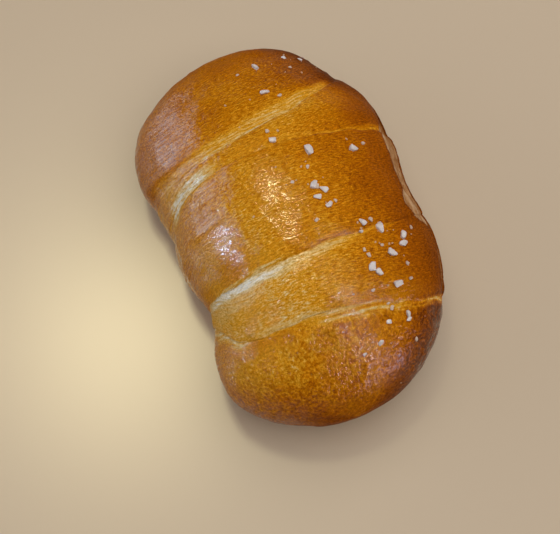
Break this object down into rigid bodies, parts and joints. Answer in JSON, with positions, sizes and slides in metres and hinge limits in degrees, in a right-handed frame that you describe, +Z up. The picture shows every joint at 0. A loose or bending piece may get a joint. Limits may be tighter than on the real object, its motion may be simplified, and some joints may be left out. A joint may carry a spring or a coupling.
{
  "type": "salt bread roll",
  "caption": "Baked roll of wound dough with a glossy golden crust, pale bands beside the layer edges, a torn flank, coarse salt on top and a flat base to rest on.",
  "frame": {"origin": "on the ground under the middle of the roll's bounding box", "axes": "+X along the roll towards its rounder end, +Y towards the salted and torn flank, +Z up"},
  "size_m": [0.1234, 0.0787, 0.0553],
  "materials": {
    "crust": "glazed golden brown crust, paler beside the layer edges and in the torn flank",
    "salt": "cloudy white coarse salt"
  },
  "bodies": {
    "root": {"salt_bread_roll": "crust"}
  },
  "joints": []
}
